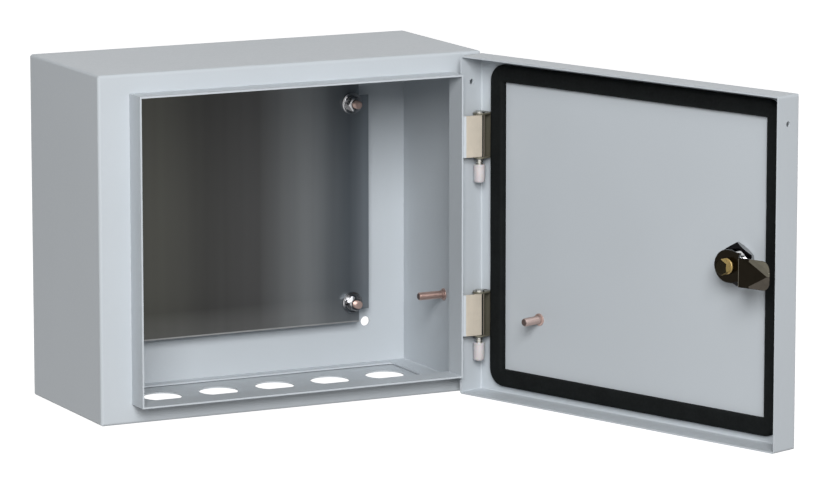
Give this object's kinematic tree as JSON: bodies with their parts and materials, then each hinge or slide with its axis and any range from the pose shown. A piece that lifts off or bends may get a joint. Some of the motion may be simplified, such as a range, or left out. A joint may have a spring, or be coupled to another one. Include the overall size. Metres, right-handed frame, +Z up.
{
  "type": "steel wall enclosure",
  "caption": "Folded steel wall enclosure, door open: gasketed hinged door with a quarter-turn cam lock, a bolted mounting plate, earth studs and a cable entry plate below.",
  "frame": {"origin": "middle of the cabinet's back face, which is also the middle of the wall hole pattern", "axes": "+Y into the wall, -Y out of the open front, +Z up, +X towards the hinged side"},
  "size_m": [0.3975, 0.4177, 0.2557],
  "materials": {
    "cabinet_coat": "light grey textured powder coat, semi-gloss",
    "back_coat": "light grey textured powder coat, semi-gloss",
    "door_coat": "light grey textured powder coat, semi-gloss",
    "gland_coat": "light grey textured powder coat, semi-gloss",
    "plate_zinc": "bright galvanised sheet, reflective",
    "stud_copper": "copper plated steel",
    "fixing_zinc": "bright zinc plated steel",
    "hinge_leaf_zinc": "pale yellow passivated zinc on steel",
    "hinge_bracket_zinc": "dull passivated zinc on steel",
    "pin_steel": "bright drawn steel",
    "ring_steel": "phosphated spring steel",
    "cap_plastic": "smooth off-white",
    "gasket_foam": "black foamed polyurethane with a skin",
    "seal_rubber": "black rubber",
    "lock_metal": "chrome plated die-cast zinc",
    "cam_steel": "dark passivated zinc on steel",
    "screw_brass": "plain machined brass"
  },
  "bodies": {
    "cabinet": {"cabinet_shell": "cabinet_coat", "back_panel": "back_coat", "mounting_plate": "plate_zinc", "plate_studs": "stud_copper", "plate_spacers": "fixing_zinc", "plate_washers": "fixing_zinc", "plate_spring_washers": "fixing_zinc", "plate_nuts": "fixing_zinc", "cabinet_earth_stud": "stud_copper", "gland_plate": "gland_coat", "gland_gasket": "seal_rubber", "gland_studs": "stud_copper", "gland_nuts": "fixing_zinc", "upper_hinge_frame_leaf": "hinge_leaf_zinc", "lower_hinge_frame_leaf": "hinge_leaf_zinc"},
    "door": {"door_panel": "door_coat", "door_gasket": "gasket_foam", "door_earth_stud": "stud_copper", "upper_hinge_door_leaf": "hinge_bracket_zinc", "lower_hinge_door_leaf": "hinge_bracket_zinc", "upper_hinge_pin": "pin_steel", "lower_hinge_pin": "pin_steel", "pin_snap_rings": "ring_steel", "pin_caps": "cap_plastic", "lock_housing": "lock_metal", "lock_seal": "seal_rubber", "lock_nut": "fixing_zinc"},
    "cam": {"lock_core": "lock_metal", "lock_cam": "cam_steel", "cam_spring_washer": "fixing_zinc", "cam_screw": "screw_brass"}
  },
  "joints": [
    {"name": "door_swing", "type": "hinge", "parent": "cabinet", "child": "door", "pos_m": [0.1415, -0.1398, 0], "axis": [0, 0, 1], "range_deg": [-109.5, 10.5]},
    {"name": "cam_turn", "type": "hinge", "parent": "door", "child": "cam", "pos_m": [0.22249, -0.36551, 0], "axis": [0.9426, 0.3338, 0], "range_deg": [0, 90]}
  ]
}
